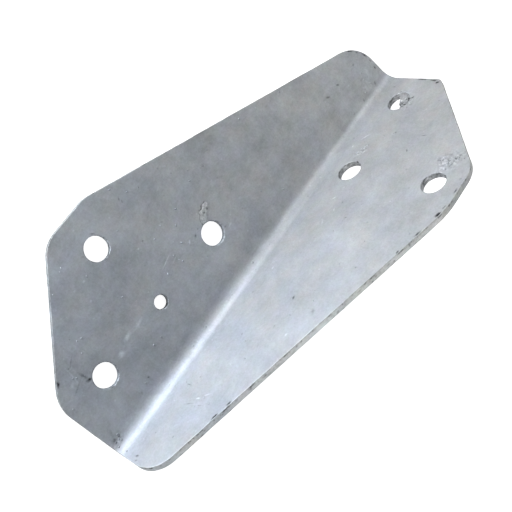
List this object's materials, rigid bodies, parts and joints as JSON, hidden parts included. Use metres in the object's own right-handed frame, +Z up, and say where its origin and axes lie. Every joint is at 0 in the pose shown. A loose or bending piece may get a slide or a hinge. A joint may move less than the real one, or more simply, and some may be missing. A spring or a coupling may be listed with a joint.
{
  "type": "folded plate bracket",
  "caption": "Folded plate bracket: two pointed flanges meet at an obtuse angle along a long fold, with bolt holes in each and a small locating hole.",
  "frame": {"origin": "centre of the small locating hole on the seat face of the base flange", "axes": "+X along the fold, +Y across the base flange away from the fold, +Z up out of the seat face"},
  "size_m": [0.277, 0.1349, 0.0953],
  "materials": {
    "galvanised_steel": "hot-dip galvanised, dull grey with faint mottling and zinc runs"
  },
  "bodies": {
    "root": {"folded_bracket": "galvanised_steel"}
  },
  "joints": []
}
